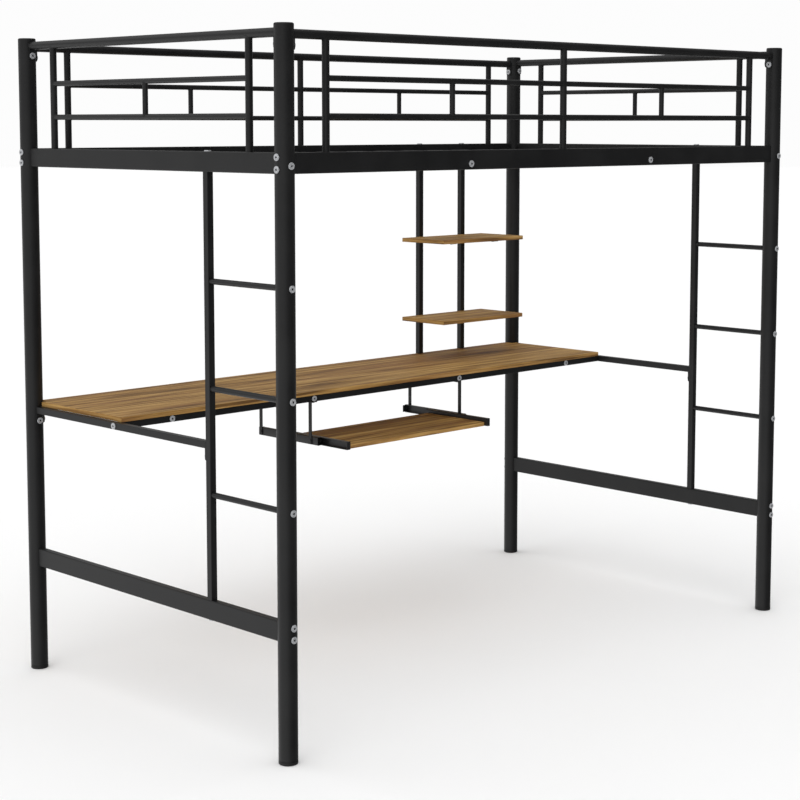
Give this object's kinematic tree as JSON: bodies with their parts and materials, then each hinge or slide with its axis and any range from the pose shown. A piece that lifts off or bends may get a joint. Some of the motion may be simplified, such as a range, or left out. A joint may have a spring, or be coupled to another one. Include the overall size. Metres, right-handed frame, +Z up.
{
  "type": "loft bed with desk",
  "caption": "Steel-tube loft bed with guard rails, built-in end ladders, a full-length desk, a sliding keyboard tray and corner shelves below.",
  "frame": {"origin": "on the floor at the middle of the four posts", "axes": "+Z up, +X along the bed towards the shelves, -Y towards the open front where the user sits"},
  "size_m": [1.9868, 1.1038, 1.721],
  "materials": {
    "frame_paint": "semi-matt black powder coat",
    "slide_steel": "satin black epoxy",
    "cap_plastic": "fine-textured black moulding",
    "wood_laminate": "brown wood-grain laminate",
    "zinc_bolt": "bright zinc plate",
    "black_screw": "black zinc plate"
  },
  "bodies": {
    "frame": {"post_front_left": "frame_paint", "post_front_right": "frame_paint", "post_rear_left": "frame_paint", "post_rear_right": "frame_paint", "side_rail_front": "frame_paint", "side_rail_rear": "frame_paint", "guard_front": "frame_paint", "guard_rear": "frame_paint", "guard_left": "frame_paint", "guard_right": "frame_paint", "upper_end_rail_left": "frame_paint", "upper_end_rail_right": "frame_paint", "lower_end_rail_left": "frame_paint", "lower_end_rail_right": "frame_paint", "ladder_upright_left": "frame_paint", "ladder_upright_right": "frame_paint", "rung_left_1": "frame_paint", "rung_left_2": "frame_paint", "rung_left_3": "frame_paint", "rung_right_1": "frame_paint", "rung_right_2": "frame_paint", "rung_right_3": "frame_paint", "cross_support_left": "frame_paint", "cross_support_right": "frame_paint", "desk_end_rail_left": "frame_paint", "desk_end_rail_right": "frame_paint", "slats_left": "frame_paint", "slats_middle": "frame_paint", "slats_right": "frame_paint", "desk_front_beam": "frame_paint", "desk_rear_beam": "frame_paint", "desk_cross_bar_1": "frame_paint", "desk_cross_bar_2": "frame_paint", "desk_cross_bar_3": "frame_paint", "desk_cross_bar_4": "frame_paint", "shelf_upright_left": "frame_paint", "shelf_upright_right": "frame_paint", "tray_hangers_left": "frame_paint", "tray_hangers_right": "frame_paint", "post_top_caps": "cap_plastic", "post_foot_caps": "cap_plastic", "fixed_channel_left": "slide_steel", "fixed_channel_right": "slide_steel", "desktop": "wood_laminate", "shelf_lower": "wood_laminate", "shelf_upper": "wood_laminate", "bed_frame_bolts": "zinc_bolt", "guard_bolts": "zinc_bolt", "upright_and_rung_bolts": "zinc_bolt", "desk_bolts": "zinc_bolt", "guard_locating_pins": "zinc_bolt", "board_and_hanger_screws": "black_screw"},
    "tray": {"tray_board": "wood_laminate", "moving_channel_left": "slide_steel", "moving_channel_right": "slide_steel", "tray_board_screws": "black_screw"},
    "front_roller_left": {"front_roller_left": "cap_plastic"},
    "front_roller_right": {"front_roller_right": "cap_plastic"},
    "rear_roller_left": {"rear_roller_left": "cap_plastic"},
    "rear_roller_right": {"rear_roller_right": "cap_plastic"}
  },
  "joints": [
    {"name": "tray_slide", "type": "slide", "parent": "frame", "child": "tray", "axis": [0, -1, 0], "range_m": [-0.107, 0.08]},
    {"name": "front_roller_left_spin", "type": "hinge", "parent": "frame", "child": "front_roller_left", "pos_m": [-0.2875, 0.124, 0.6017], "axis": [1, 0, 0], "range_deg": [-720, 720]},
    {"name": "front_roller_right_spin", "type": "hinge", "parent": "frame", "child": "front_roller_right", "pos_m": [0.2875, 0.124, 0.6017], "axis": [1, 0, 0], "range_deg": [-720, 720]},
    {"name": "rear_roller_left_spin", "type": "hinge", "parent": "tray", "child": "rear_roller_left", "pos_m": [-0.298, 0.249, 0.5998], "axis": [1, 0, 0], "range_deg": [-720, 720]},
    {"name": "rear_roller_right_spin", "type": "hinge", "parent": "tray", "child": "rear_roller_right", "pos_m": [0.298, 0.249, 0.5998], "axis": [1, 0, 0], "range_deg": [-720, 720]}
  ],
  "couplings": [
    {"joint": "front_roller_left_spin", "follows": "tray_slide", "rad_per_m": 111.11},
    {"joint": "front_roller_right_spin", "follows": "tray_slide", "rad_per_m": 111.11},
    {"joint": "rear_roller_left_spin", "follows": "tray_slide", "rad_per_m": 111.11},
    {"joint": "rear_roller_right_spin", "follows": "tray_slide", "rad_per_m": 111.11}
  ]
}
